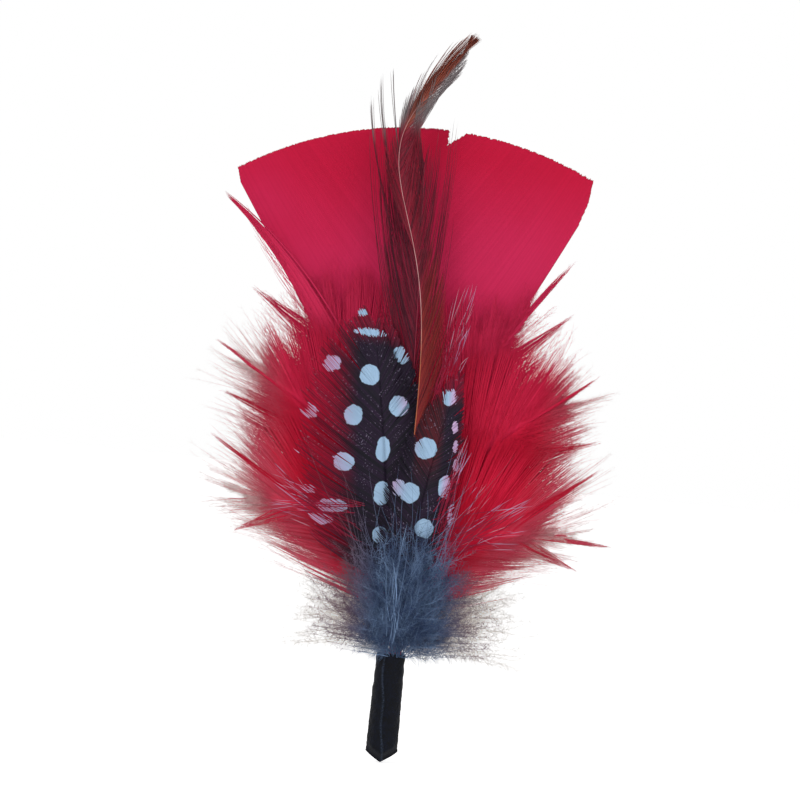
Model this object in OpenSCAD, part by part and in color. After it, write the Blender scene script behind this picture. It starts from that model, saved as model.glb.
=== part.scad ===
// Feather hat trim: twelve feathers and their down, gathered in one taped stem.
// Millimetres. +Z runs up the stem, the front of the spray faces -Y, and the origin is
// on the stem's axis, at the lower end of its full round wall.

/* [Stem] */
// Radius of the quills in the bundle
quill_r = 0.34; // [0.3:0.02:0.44]
// Radius of the flat feather's thicker quill
flat_quill_r = 0.5; // [0.45:0.01:0.65]
// Glue between two neighbouring quills, and outside the outermost ones
glue_wall = 0.12; // [0.08:0.01:0.2]
// Radius of the binding thread
thread_r = 0.12; // [0.08:0.01:0.16]
// Number of turns of the binding thread
thread_turns = 16; // [8:1:30]
// Depth of the uppermost turn below the stem's mouth
thread_depth = 3; // [2:0.5:5]
// Thickness of the tape, all its turns together
tape_t = 0.35; // [0.3:0.05:0.6]
// Length of the stem's full round wall
stem_len = 17.5; // [14:0.5:24]
// Length of the pinched and cut tape end below the round wall
tape_end = 2.2; // [1.2:0.1:3]
// How far the glue stops below the stem's mouth
glue_depth = 0.5; // [0.2:0.1:1.5]

/* [Webs and layers] */
// Thickness of a feather's web
web_t = 0.5; // [0.3:0.05:0.6]
// Height over which the quills fan out from the bundle to their layers
fan_h = 14; // [11:1:17]
// Thickness of a shaft's tip, as a share of its quill
tip_taper = 0.3; // [0.25:0.05:0.5]

/* [Flat feather] */
// Height of its cut top edge above the stem's mouth
flat_h = 95; // [85:1:105]
// Sideways reach of its top, negative to the left
flat_reach = -4; // [-8:0.5:4]
// Width of its left web at the cut corner
flat_left_w = 32.3; // [26:0.5:36]
// Width of its right web at the cut corner
flat_right_w = 32.3; // [26:0.5:36]
// Radius of the arc that its top edge is cut to
flat_top_r = 68; // [60:1:90]
// How far to the right of its shaft's tip the highest point of that arc lies
flat_top_x = 3.5; // [0:0.5:6]
// Height above the mouth at which its webs start
flat_bare_h = 30; // [20:1:36]
// Distance of the split in its top edge from its shaft
split_x = 5.4; // [3:0.2:12]
// Width of the split at the top edge
split_w = 3.8; // [1:0.2:5]
// Depth of the split
split_depth = 2.7; // [1:0.1:5]

/* [Upper side plumes] */
// Sideways reach of the left one's shaft
upper_left_reach = 24; // [18:1:28]
// Height of the left one's shaft
upper_left_h = 68.5; // [60:0.5:76]
// Sideways reach of the right one's shaft
upper_right_reach = 18; // [14:1:24]
// Height of the right one's shaft
upper_right_h = 64.5; // [56:0.5:72]
// Length of their barbs
upper_barb = 14; // [9:0.5:15]

/* [Middle side plumes] */
// Sideways reach of the left one's shaft
middle_left_reach = 27.5; // [21:0.5:30]
// Height of the left one's shaft
middle_left_h = 48.5; // [43:0.5:54]
// Sideways reach of the right one's shaft
middle_right_reach = 23.5; // [18:0.5:28]
// Height of the right one's shaft
middle_right_h = 46.5; // [41:0.5:52]
// Length of their barbs
middle_barb = 13; // [9:0.5:14]

/* [Lower side plumes] */
// Sideways reach of the left one's shaft
lower_left_reach = 25.5; // [20:0.5:28]
// Height of the left one's shaft
lower_left_h = 25.5; // [22:0.5:30]
// Sideways reach of the right one's shaft
lower_right_reach = 27.5; // [20:0.5:29]
// Height of the right one's shaft
lower_right_h = 24; // [21:0.5:30]
// Length of their barbs
lower_barb = 12; // [8:0.5:13]

/* [Dark hackle] */
// Height of its shaft
dark_h = 88; // [78:1:96]
// Sideways reach of its shaft, negative to the left
dark_reach = -2.5; // [-5:0.5:-1]
// Length of its left barbs
dark_left_barb = 16; // [10:0.5:18]
// Length of its right barbs
dark_right_barb = 8; // [5:0.5:12]

/* [Brown hackle] */
// Height of its shaft
brown_h = 111; // [100:1:120]
// Sideways reach of its tip
brown_reach = 3.5; // [0:0.1:6]
// How far its upper part sways to the left
brown_sway = 9.5; // [4:0.5:11]
// Length of its left barbs
brown_left_barb = 7; // [4:0.5:9]
// Length of its right barbs
brown_right_barb = 8; // [4:0.5:10]

/* [Guinea feathers] */
// Height of the left one's shaft
left_guinea_h = 58; // [50:1:62]
// Sideways reach of the left one's shaft, negative to the left
left_guinea_reach = -7.5; // [-10:0.5:-5]
// Height of the right one's shaft
right_guinea_h = 50; // [44:1:56]
// Sideways reach of the right one's shaft
right_guinea_reach = 6.5; // [3:0.5:8]
// Height of the back one's shaft
back_guinea_h = 58; // [52:1:66]
// Sideways reach of the back one's shaft, negative to the left
back_guinea_reach = -6; // [-7:0.5:-4]
// Length of the left one's outer barbs
left_guinea_barb = 12; // [9:0.5:14]
// Length of the right one's outer barbs
right_guinea_barb = 9.5; // [7:0.5:12]
// Length of the barbs on the side where the left and right ones meet
inner_guinea_barb = 7; // [5:0.5:9]
// Length of the back one's barbs
back_guinea_barb = 9.5; // [7:0.5:12]

/* [Down] */
// Width of the grey down in front
grey_w = 27; // [20:1:32]
// Height of the grey down
grey_h = 27.5; // [20:0.5:34]
// Depth of the grey down
grey_depth = 4.5; // [3:0.5:7]
// Width of the beige down at the back
beige_w = 40; // [30:1:48]
// Height of the beige down
beige_h = 15.5; // [11:0.5:20]
// Depth of the beige down
beige_depth = 3.5; // [2:0.5:6]
// How far to the right of the stem's axis the down is centred
down_x = 2; // [-2:0.5:4]

/* [Fits] */
// Gap round a part that is seated in another
fit_gap = 0.02; // [0.01:0.01:0.04]
// Gap between a web and its own shaft
web_gap = 0.05; // [0.03:0.01:0.1]
// Gap between the shafts of neighbouring layers
layer_gap = 0.1; // [0.05:0.05:0.2]
// Gap between the down and the nearest quill or the stem's mouth
down_gap = 0.25; // [0.15:0.05:0.3]

/* [Hidden] */
$fn = 72;

// The stem, from the quills outwards
outer_quills = 10;
widest_quill_r = max(quill_r, flat_quill_r);
seat_ring_r = (widest_quill_r + quill_r + glue_wall) / (2 * sin(180 / outer_quills));
inner_seat_y = quill_r + glue_wall / 2;
core_r = seat_ring_r + widest_quill_r + glue_wall;
thread_ring_r = core_r + fit_gap + thread_r;
tape_bore_r = thread_ring_r + thread_r + fit_gap;
stem_r = tape_bore_r + tape_t;
foot_z = tape_t + fit_gap;
core_top = stem_len - glue_depth;

// The layers of feathers, from 1 at the back to 11 at the front, with the flat behind them
front_layer = 11;
layer_pitch = quill_r + max(quill_r, web_t / 2) + layer_gap;
function layer_y(i) = ((1 + front_layer) / 2 - i) * layer_pitch;
flat_y = layer_y(1) + max(flat_quill_r + max(quill_r, web_t / 2), quill_r + web_t / 2) + layer_gap;
grey_back_y = layer_y(front_layer) - quill_r - down_gap;
beige_front_y = flat_y + widest_quill_r + down_gap;

shaft_sides = 8;
shaft_steps = 24;
web_steps = 18;

// ---- Feathers ----
// A feather is a list: its seat in the bundle, its layer's y, its quill's radius, the reach
// and height of its shaft's tip from its seat at the mouth, how high its shaft aims before it
// bends over (half the height is straight), and how far its upper part sways to the left.
function feather(seat, layer, quill, reach, height, rise, sway = 0) =
    [seat, layer, quill, reach, height, rise, sway];

function seat_of(f) = f[0];
function layer_of(f) = f[1];
function quill_of(f) = f[2];

// Seats on the outer ring, by their angle from the back (+Y) towards the right (+X)
function ring_seat(angle) = seat_ring_r * [sin(angle), cos(angle)];

// Height of the shaft above the mouth, and its sideways place, at t from 0 (mouth) to 1 (tip)
function shaft_h(f, t) = 2 * t * (1 - t) * f[5] + t * t * f[4];
// The higher the power, the nearer to the tip it sways
sway_power = 3.4;
function shaft_x(f, t) =
    seat_of(f).x + f[3] * t * t - f[6] * pow(sin(180 * pow(t, sway_power)), 2);
function shaft_z(f, t) = stem_len + shaft_h(f, t);
function ease(u) = let (v = min(1, max(0, u))) v * v * (3 - 2 * v);
function shaft_y(f, t) =
    seat_of(f).y + (layer_of(f) - seat_of(f).y) * ease(shaft_h(f, t) / fan_h);
function shaft_r(f, t) = quill_of(f) * (1 - (1 - tip_taper) * t);

// The share t at which the shaft reaches a height above the mouth
function share_at(f, h) = let (a = f[4] - 2 * f[5], b = 2 * f[5])
    abs(a) < 0.001 ? h / b : (sqrt(b * b + 4 * a * h) - b) / (2 * a);

// Direction of the shaft in the XZ plane, as a unit vector, by a small step along it
heading_step = 0.005;
function heading(f, t) = let (
        a = max(0, t - heading_step),
        b = min(1, t + heading_step),
        d = [shaft_x(f, b) - shaft_x(f, a), shaft_z(f, b) - shaft_z(f, a)]
    ) d / norm(d);
// A unit vector turned clockwise, as seen from the front
function turned(v, angle) =
    [v.x * cos(angle) + v.y * sin(angle), v.y * cos(angle) - v.x * sin(angle)];

// One ring of a shaft: its centre, the sideways unit vector in the XZ plane and its radius
function ring(centre, side, r) = [
    for (k = [0 : shaft_sides - 1]) let (a = 360 * k / shaft_sides)
        centre + r * [side.x * cos(a), sin(a), side.y * cos(a)]
];

// A feather's quill and shaft, from its foot in the glue to its tip
module shaft(f) {
    seat = seat_of(f);
    rings = concat(
        [ring([seat.x, seat.y, foot_z], [1, 0], quill_of(f))],
        [for (i = [0 : shaft_steps]) let (t = i / shaft_steps)
            ring([shaft_x(f, t), shaft_y(f, t), shaft_z(f, t)],
                 turned(heading(f, t), 90), shaft_r(f, t))]
    );
    last = len(rings) - 1;
    n = shaft_sides;
    polyhedron(
        points = [for (r = rings) each r],
        faces = concat(
            [[for (k = [0 : n - 1]) k]],
            [[for (k = [n - 1 : -1 : 0]) last * n + k]],
            [for (i = [0 : last - 1], k = [0 : n - 1]) let (next = (k + 1) % n)
                [i * n + k, (i + 1) * n + k, (i + 1) * n + next, i * n + next]]
        )
    );
}

// A flat sheet in the XZ plane, centred on the plane y
module sheet(y, thickness) {
    translate([0, y + thickness / 2, 0])
        rotate([90, 0, 0])
            linear_extrude(thickness)
                children();
}

// Points along one side of a shaft, a web's gap away from it: side is -1 left, 1 right
function web_foot(f, side, t) =
    [shaft_x(f, t), shaft_z(f, t)]
    + side * (shaft_r(f, t) + web_gap) * turned(heading(f, t), 90);

// Barbs start short, are longest a third of the way up, and end at tip_share of that
barb_swell = 0.3;
function barb_at(w, barb, tip_share) =
    barb * sqrt(sin(90 * min(1, w / barb_swell))) * (1 - (1 - tip_share) * w * w);
// Barbs lean outwards from the shaft by the first slope at the web's foot, by the second at its tip
function slope_at(w, slopes) = slopes[0] + (slopes[1] - slopes[0]) * pow(w, 3);

// One web of a feather, from bare_h above the mouth to past its tip
module web(f, side, bare_h, barb, slopes, tip_share) {
    start = share_at(f, max(bare_h, fan_h));
    function t_at(w) = start + (1 - start) * w;
    inner = [for (i = [0 : web_steps]) web_foot(f, side, t_at(i / web_steps))];
    outer = [for (i = [web_steps : -1 : 1]) let (w = i / web_steps, t = t_at(w))
        web_foot(f, side, t)
        + barb_at(w, barb, tip_share) * turned(heading(f, t), side * slope_at(w, slopes))];
    sheet(layer_of(f), web_t)
        polygon(concat(inner, outer));
}

module both_webs(f, bare_h, left_barb, right_barb, slopes, tip_share) {
    web(f, -1, bare_h, left_barb, slopes, tip_share);
    web(f, 1, bare_h, right_barb, slopes, tip_share);
}

// The twelve feathers
flat_feather = feather([0, seat_ring_r], flat_y, flat_quill_r, flat_reach, flat_h, flat_h / 2);
upper_rise_share = 0.56;
middle_rise_share = 0.7;
lower_rise_share = 0.95;
left_guinea_rise_share = 0.3;
upper_left = feather(ring_seat(-36), layer_y(1), quill_r, -upper_left_reach, upper_left_h,
    upper_rise_share * upper_left_h);
upper_right = feather(ring_seat(36), layer_y(2), quill_r, upper_right_reach, upper_right_h,
    upper_rise_share * upper_right_h);
middle_left = feather(ring_seat(-72), layer_y(3), quill_r, -middle_left_reach, middle_left_h,
    middle_rise_share * middle_left_h);
middle_right = feather(ring_seat(72), layer_y(4), quill_r, middle_right_reach, middle_right_h,
    middle_rise_share * middle_right_h);
lower_left = feather(ring_seat(-108), layer_y(5), quill_r, -lower_left_reach, lower_left_h,
    lower_rise_share * lower_left_h);
lower_right = feather(ring_seat(108), layer_y(6), quill_r, lower_right_reach, lower_right_h,
    lower_rise_share * lower_right_h);
dark_hackle = feather([0, inner_seat_y], layer_y(7), quill_r, dark_reach, dark_h, dark_h / 2);
back_guinea = feather([0, -inner_seat_y], layer_y(8), quill_r, back_guinea_reach,
    back_guinea_h, back_guinea_h / 2);
left_guinea = feather(ring_seat(-144), layer_y(9), quill_r, left_guinea_reach,
    left_guinea_h, left_guinea_rise_share * left_guinea_h);
right_guinea = feather(ring_seat(144), layer_y(10), quill_r, right_guinea_reach,
    right_guinea_h, right_guinea_h / 2);
brown_hackle = feather(ring_seat(180), layer_y(11), quill_r, brown_reach, brown_h,
    brown_h / 2, brown_sway);
FEATHERS = [
    flat_feather, upper_left, upper_right, middle_left, middle_right, lower_left,
    lower_right, dark_hackle, back_guinea, left_guinea, right_guinea, brown_hackle
];

// Colours
tape_black = [0.06, 0.06, 0.09];
red = [0.75, 0.11, 0.24];
deep_red = [0.55, 0.08, 0.14];
maroon = [0.26, 0.09, 0.1];
copper = [0.45, 0.24, 0.14];
navy = [0.1, 0.1, 0.16];
quill_pale = [0.8, 0.74, 0.64];
glue_amber = [0.85, 0.8, 0.6];
grey_blue = [0.3, 0.34, 0.44];
beige = [0.72, 0.66, 0.62];

// ---- Stem ----

// Dark tape wound round the bundle, with its lower end folded over, pinched and cut to a point
module stem_tape() {
    color(tape_black) {
        difference() {
            cylinder(h = stem_len, r = stem_r);
            translate([0, 0, tape_t])
                cylinder(h = stem_len, r = tape_bore_r);
        }
        intersection() {
            translate([0, 0, -tape_end])
                cylinder(h = tape_end, r = stem_r - tape_t / 2);
            translate([0, stem_r, 0])
                rotate([90, 0, 0])
                    linear_extrude(2 * stem_r)
                        polygon([[-stem_r, 0], [0, -tape_end], [stem_r, 0]]);
        }
    }
}

// The thread that binds the bundle, its turns pressed together, each a small ridge
module binding_thread() {
    turn_h = 2 * thread_r;
    flank = thread_r / 2;
    inside = thread_ring_r - thread_r;
    top = core_top - thread_depth;
    color("black")
        rotate_extrude()
            polygon(concat(
                [[inside, top], [inside, top - thread_turns * turn_h]],
                [for (i = [thread_turns - 1 : -1 : 0]) let (z = top - (i + 1) * turn_h) each [
                    [thread_ring_r + flank, z],
                    [thread_ring_r + thread_r, z + flank],
                    [thread_ring_r + thread_r, z + turn_h - flank]
                ]],
                [[thread_ring_r + flank, top]]
            ));
}

// Glue that sets the quills, with a bore for each
module glue_core() {
    color(glue_amber)
        difference() {
            translate([0, 0, foot_z])
                cylinder(h = core_top - foot_z, r = core_r);
            for (f = FEATHERS)
                translate([seat_of(f).x, seat_of(f).y, 0])
                    cylinder(h = stem_len, r = quill_of(f) + fit_gap, $fn = 24);
        }
}

// ---- Flat feather ----

module flat_shaft() {
    color(deep_red)
        shaft(flat_feather);
}

// Points down each web's outer edge, from its cut corner, as shares of the web's width and of
// the top's height. From the last one the edge runs straight to the web's foot.
flat_left_edge = [[-1, 1], [-1, 0.9], [-0.97, 0.865]];
flat_right_edge = [[1, 1], [1, 0.93], [0.985, 0.89], [0.92, 0.825], [0.745, 0.725]];

function flat_tip_x() = shaft_x(flat_feather, 1);

// One web: along the shaft, then round by the outer edge's points, cut to the top's arc
module flat_web(side, width, edge) {
    f = flat_feather;
    start = share_at(f, max(flat_bare_h, fan_h));
    inner = [for (i = [0 : web_steps]) web_foot(f, side, start + (1 - start) * i / web_steps)];
    outer = [for (share = edge) [flat_tip_x() + share.x * width, stem_len + share.y * flat_h]];
    sheet(flat_y, web_t)
        intersection() {
            polygon(concat(inner, outer));
            translate([flat_tip_x() + flat_top_x, stem_len + flat_h - flat_top_r])
                circle(flat_top_r, $fn = 180);
        }
}

module flat_web_left() {
    color(red)
        flat_web(-1, flat_left_w, flat_left_edge);
}

module flat_web_right() {
    split_at = flat_tip_x() + split_x;
    top = stem_len + flat_h;
    color(red)
        difference() {
            flat_web(1, flat_right_w, flat_right_edge);
            sheet(flat_y, 2 * web_t)
                polygon([[split_at, top - split_depth], [split_at + split_w, top], [split_at, top]]);
        }
}

// ---- Side plumes ----

plume_slopes = [52, 2];
plume_tip_share = 0.65;
module plume_barbs(f, barb) {
    color(red)
        both_webs(f, fan_h, barb, barb, plume_slopes, plume_tip_share);
}

module plume_shaft(f) {
    color(deep_red)
        shaft(f);
}

module plume_upper_left_shaft() { plume_shaft(upper_left); }
module plume_upper_left_barbs() { plume_barbs(upper_left, upper_barb); }
module plume_upper_right_shaft() { plume_shaft(upper_right); }
module plume_upper_right_barbs() { plume_barbs(upper_right, upper_barb); }
module plume_middle_left_shaft() { plume_shaft(middle_left); }
module plume_middle_left_barbs() { plume_barbs(middle_left, middle_barb); }
module plume_middle_right_shaft() { plume_shaft(middle_right); }
module plume_middle_right_barbs() { plume_barbs(middle_right, middle_barb); }
module plume_lower_left_shaft() { plume_shaft(lower_left); }
module plume_lower_left_barbs() { plume_barbs(lower_left, lower_barb); }
module plume_lower_right_shaft() { plume_shaft(lower_right); }
module plume_lower_right_barbs() { plume_barbs(lower_right, lower_barb); }

// ---- Hackles ----

dark_bare_h = 26;
dark_slopes = [36, 2];
dark_tip_share = 0.75;
module dark_hackle_shaft() {
    color(maroon)
        shaft(dark_hackle);
}

module dark_hackle_barbs() {
    color(maroon)
        both_webs(dark_hackle, dark_bare_h, dark_left_barb, dark_right_barb, dark_slopes,
            dark_tip_share);
}

brown_bare_h = 20;
brown_slopes = [32, 14];
brown_tip_share = 0.08;
module brown_hackle_shaft() {
    color(quill_pale)
        shaft(brown_hackle);
}

module brown_hackle_barbs() {
    color(copper)
        both_webs(brown_hackle, brown_bare_h, brown_left_barb, brown_right_barb, brown_slopes,
            brown_tip_share);
}

// ---- Guinea feathers ----

guinea_slopes = [55, 3];
guinea_tip_share = 0.3;
module guinea_vane(f, left_barb, right_barb) {
    color(navy)
        both_webs(f, fan_h, left_barb, right_barb, guinea_slopes, guinea_tip_share);
}

module guinea_shaft(f) {
    color(quill_pale)
        shaft(f);
}

module guinea_back_shaft() { guinea_shaft(back_guinea); }
module guinea_back_vane() { guinea_vane(back_guinea, back_guinea_barb, back_guinea_barb); }
module guinea_left_shaft() { guinea_shaft(left_guinea); }
module guinea_left_vane() { guinea_vane(left_guinea, left_guinea_barb, inner_guinea_barb); }
module guinea_right_shaft() { guinea_shaft(right_guinea); }
module guinea_right_vane() { guinea_vane(right_guinea, inner_guinea_barb, right_guinea_barb); }

// ---- Down ----

// Half an ellipsoid, flat on the plane y = 0 and bulging towards -Y: a unit ball with its back
// half cut off by a block twice as wide, then stretched
module tuft(w, h, depth) {
    ball_r = 1;
    block = 4 * ball_r;
    scale([w / 2, depth, h / 2])
        difference() {
            sphere(ball_r, $fn = 32);
            translate([-block / 2, 0, -block / 2])
                cube(block);
        }
}

module grey_down() {
    color(grey_blue)
        translate([down_x, grey_back_y, stem_len + down_gap + grey_h / 2])
            tuft(grey_w, grey_h, grey_depth);
}

module beige_down() {
    color(beige)
        translate([down_x, beige_front_y, stem_len + down_gap + beige_h / 2])
            rotate([0, 0, 180])
                tuft(beige_w, beige_h, beige_depth);
}

stem_tape();
binding_thread();
glue_core();
flat_shaft();
flat_web_left();
flat_web_right();
plume_upper_left_shaft();
plume_upper_left_barbs();
plume_upper_right_shaft();
plume_upper_right_barbs();
plume_middle_left_shaft();
plume_middle_left_barbs();
plume_middle_right_shaft();
plume_middle_right_barbs();
plume_lower_left_shaft();
plume_lower_left_barbs();
plume_lower_right_shaft();
plume_lower_right_barbs();
dark_hackle_shaft();
dark_hackle_barbs();
guinea_back_shaft();
guinea_back_vane();
guinea_left_shaft();
guinea_left_vane();
guinea_right_shaft();
guinea_right_vane();
brown_hackle_shaft();
brown_hackle_barbs();
grey_down();
beige_down();
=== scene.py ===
import math

import bpy
import numpy as np
from mathutils import Matrix, Vector
from numpy.random import default_rng


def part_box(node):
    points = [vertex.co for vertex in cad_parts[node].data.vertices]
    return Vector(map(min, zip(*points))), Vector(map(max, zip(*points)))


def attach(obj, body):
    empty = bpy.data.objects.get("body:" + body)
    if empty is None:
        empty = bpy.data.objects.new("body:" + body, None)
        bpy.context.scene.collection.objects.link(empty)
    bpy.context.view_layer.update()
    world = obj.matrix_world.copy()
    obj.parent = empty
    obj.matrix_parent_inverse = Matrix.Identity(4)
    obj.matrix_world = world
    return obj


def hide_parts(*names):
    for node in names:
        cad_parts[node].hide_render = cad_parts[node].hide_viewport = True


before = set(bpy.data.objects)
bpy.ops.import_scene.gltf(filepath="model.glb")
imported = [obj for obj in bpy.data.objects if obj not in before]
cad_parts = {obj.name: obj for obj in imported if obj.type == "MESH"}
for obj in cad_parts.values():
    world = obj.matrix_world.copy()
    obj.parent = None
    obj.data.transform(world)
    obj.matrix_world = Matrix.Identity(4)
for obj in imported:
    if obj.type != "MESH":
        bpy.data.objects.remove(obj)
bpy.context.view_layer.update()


# ---- Table, lamps and camera ----
# A plain pale table under the point of the stem, soft lamps in front of the spray and an
# even pale room. The camera looks at the front, rolled so that the stem leans.

MM = 0.001
stem_lean = math.radians(5.5)
view_width = 144 * MM
camera_distance = 800 * MM
aim = Vector((-2.8, 0, 63)) * MM
scene = bpy.context.scene


def put(name, data):
    """A new object in the scene."""
    piece = bpy.data.objects.new(name, data)
    scene.collection.objects.link(piece)
    return piece


camera = put("camera", bpy.data.cameras.new("camera"))
camera.data.lens = camera.data.sensor_width * camera_distance / view_width
camera.data.clip_start = 0.01
camera.matrix_world = Matrix([
    (math.cos(stem_lean), -math.sin(stem_lean), 0, aim.x),
    (0, 0, -1, -camera_distance),
    (math.sin(stem_lean), math.cos(stem_lean), 0, aim.z),
    (0, 0, 0, 1),
])
scene.camera = camera
scene.view_settings.view_transform = "Standard"


class Num:
    """A shader value that takes part in sums: each operator adds the Math node for it."""

    def __init__(self, nodes, socket):
        self.nodes, self.socket = nodes, socket

    def maths(self, operation, *values):
        return self.nodes.add("ShaderNodeMath", {"operation": operation}, values)

    def __add__(self, other):
        return self.maths("ADD", self, other)

    def __mul__(self, other):
        return self.maths("MULTIPLY", self, other)

    __radd__ = __add__
    __rmul__ = __mul__

    def step(self, start, end):
        """0 at start, 1 at end and smooth between them; start may be the larger."""
        settings = {"interpolation_type": "SMOOTHSTEP"}
        return self.nodes.add("ShaderNodeMapRange", settings, (self, start, end))


class Nodes:
    """The nodes of one material or of the room."""

    def __init__(self, tree):
        self.tree = tree

    def add(self, kind, settings=None, inputs=(), output=0):
        """One node of any kind: its settings, then the values or links of its sockets."""
        node = self.tree.nodes.new(kind)
        for key, value in (settings or {}).items():
            setattr(node, key, value)
        self.feed(node, inputs if isinstance(inputs, dict) else dict(enumerate(inputs)))
        return Num(self, node.outputs[output])

    def feed(self, node, inputs):
        """Sets a node's sockets, or links other nodes' values to them."""
        for key, value in inputs.items():
            if isinstance(value, Num):
                self.tree.links.new(value.socket, node.inputs[key])
            else:
                node.inputs[key].default_value = value

    def mark(self, name):
        """The value that the piece holds under this name at each of its points."""
        return self.add("ShaderNodeAttribute", {"attribute_name": name}, output="Fac")

    def vector(self, operation, *values, output=0):
        return self.add("ShaderNodeVectorMath", {"operation": operation}, values, output)

    def place(self):
        """Where a point lies on its own object, in metres."""
        return self.add("ShaderNodeTexCoord", output="Object")

    def side_and_height(self):
        """How far to the right and how high a point lies, in mm."""
        return [self.add("ShaderNodeSeparateXYZ", inputs=(self.place(),), output=i) * (1 / MM)
                for i in (0, 2)]

    def mix(self, tone, *over):
        """A colour with others over it, each with its own share. A colour is another mix, or
        its red, green and blue as a screen shows them."""
        for share, colour in over:
            pair = [rgb(*c) if isinstance(c, tuple) else c for c in (tone, colour)]
            tone = self.add("ShaderNodeMix", {"data_type": "RGBA"},
                            {0: share, 6: pair[0], 7: pair[1]}, output=2)
        return tone

    def noise(self, per_mm, detail=2.0, roughness=0.5):
        """Cloudy noise from 0 to 1, with about per_mm lumps to a mm."""
        sockets = {0: self.place(), 2: per_mm / MM, 3: detail, 4: roughness}
        return self.add("ShaderNodeTexNoise", inputs=sockets)

    def bump(self, height, depth_mm, strength=1.0):
        """The slopes of a surface that stands out by depth_mm where height is 1."""
        sockets = {0: strength, 1: depth_mm * MM, "Height": height}
        return self.add("ShaderNodeBump", inputs=sockets)

    def seen_directly(self):
        """1 where the camera, a reflection or glass looks straight at a point, else 0."""
        rays = [self.add("ShaderNodeLightPath", output=f"Is {kind} Ray")
                for kind in ("Camera", "Glossy", "Transmission")]
        return rays[0].maths("MAXIMUM", rays[0].maths("MAXIMUM", rays[0], rays[1]), rays[2])


class Finish(Nodes):
    """A material: constants on the shader's own sockets, and the nodes that vary it."""

    def __init__(self, name, shine=0.5, **constants):
        self.material = bpy.data.materials.new(name)
        self.material.use_nodes = True
        super().__init__(self.material.node_tree)
        self.shader = self.tree.nodes["Principled BSDF"]
        self.link(Specular_IOR_Level=shine, **constants)

    def link(self, **sockets):
        self.feed(self.shader, {name.replace("_", " "): v for name, v in sockets.items()})
        return self

    def coat(self, least, more, per_mm, *layers):
        """Layers of colour, and a roughness that a noise raises from least by up to more."""
        roughness = least + more * self.noise(per_mm)
        return self.link(Base_Color=self.mix(*layers), Roughness=roughness)


def rgb(red, green, blue):
    """A colour as a screen shows it, 0 to 255, in the linear values that a shader takes."""
    c = np.array([red, green, blue]) / 255
    linear = np.where(c > 0.04045, ((c + 0.055) / 1.055) ** 2.4, c / 12.92)
    return (*linear.tolist(), 1.0)


table_z = -2.25
table_reach = 3000
table_glow = 0.62
table = Finish("pale_table", Roughness=0.85)
table.link(Base_Color=table.mix((232, 232, 232), (table.noise(0.02, 3), (240, 240, 240))))
matt = Num(table, table.shader.outputs[0])
glow = table.add("ShaderNodeEmission", inputs=(rgb(255, 255, 255), table_glow))
lit = table.add("ShaderNodeAddShader", inputs=(matt, glow))
shown = table.add("ShaderNodeMixShader", inputs=(table.seen_directly(), matt, lit))
table.feed(table.tree.nodes["Material Output"], {0: shown})

corners = np.array([(-1, -1), (1, -1), (1, 1), (-1, 1)]) * table_reach
mesh = bpy.data.meshes.new("table")
mesh.from_pydata([(x * MM, y * MM, table_z * MM) for x, y in corners], [], [(0, 1, 2, 3)])
mesh.materials.append(table.material)
table_top = put("table", mesh)

room_level = 0.5
scene.world = bpy.data.worlds.new("room")
scene.world.use_nodes = True
room = Nodes(scene.world.node_tree)
strength = room.seen_directly() * (1 - room_level) + room_level
room.feed(room.tree.nodes["Background"], {0: rgb(255, 255, 255), 1: strength})

for name, spot, size, power in (
    ("left_lamp", (-520, -900, 620), 500, 4.5),
    ("right_lamp", (620, -700, 260), 600, 2.0),
):
    lamp = put(name, bpy.data.lights.new(name, "AREA"))
    lamp.data.size = size * MM
    lamp.data.energy = power
    lamp.location = Vector(spot) * MM
    lamp.rotation_euler = (aim - lamp.location).to_track_quat("-Z", "Y").to_euler()


# ---- Stem ----
# Dark crepe tape, wrapped lengthwise round the quills so that its edge runs down the front,
# pinched flat and cut to a point. Inside are the binding thread and the glue.

tape_low, tape_high = (np.array(corner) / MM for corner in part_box("stem_tape"))
mouth_z = tape_high[2]
bore_r = 2.46
bore_floor_z = 0.6
half_width_above, half_width_below = 2.56, 2.8
tape_half_depth = 2.8
pinched_depth = 0.55
overlap_turn = math.radians(258)
strip_turns = (math.radians(150), math.radians(238))
strip_top_z = 12.5


def ripple(rng, waves, per_turn, per_mm, turn, z):
    """A sum of random sine waves round the stem (whole waves per turn) and along it."""
    total = 0
    for _ in range(waves):
        k = rng.integers(-per_turn, per_turn + 1)
        q, phase = rng.uniform(-per_mm, per_mm), rng.uniform(0, 2 * np.pi)
        total = total + np.sin(k * turn + 2 * np.pi * q * z + phase)
    return total / math.sqrt(waves)


def triples(x, y, z):
    """Three sets of values, spread to one shape, as rows of three."""
    return np.stack(np.broadcast_arrays(x, y, z), axis=-1).reshape(-1, 3)


def tube_faces(sides, rows, first=0):
    """The quads of a tube whose rings of points follow one another from point first on."""
    j = np.arange(sides)
    row = first + sides * np.arange(rows - 1)[:, None]
    nxt = (j + 1) % sides
    quads = np.stack([row + j, row + sides + j, row + sides + nxt, row + nxt], axis=-1)
    return quads.reshape(-1, 4)


def smooth_piece(name, mesh, marks):
    """A smooth piece from a mesh, with one value a point for each mark."""
    mesh.polygons.foreach_set("use_smooth", np.ones(len(mesh.polygons), bool))
    for mark, values in marks.items():
        layer = mesh.attributes.new(mark, "FLOAT", "POINT")
        layer.data.foreach_set("value", values.astype(np.float32))
    return put(name, mesh)


def mesh_piece(name, points, faces, **marks):
    """A smooth piece from points in mm and faces."""
    mesh = bpy.data.meshes.new(name)
    mesh.from_pydata((points * MM).tolist(), [], faces)
    return smooth_piece(name, mesh, marks)


def dress(piece, finish, slot, *nodes):
    """Gives a piece its finish and puts it in the place of any CAD nodes; slot is not used."""
    piece.data.materials.append(finish.material)
    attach(piece, "root")
    if nodes:
        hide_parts(*nodes)


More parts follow.
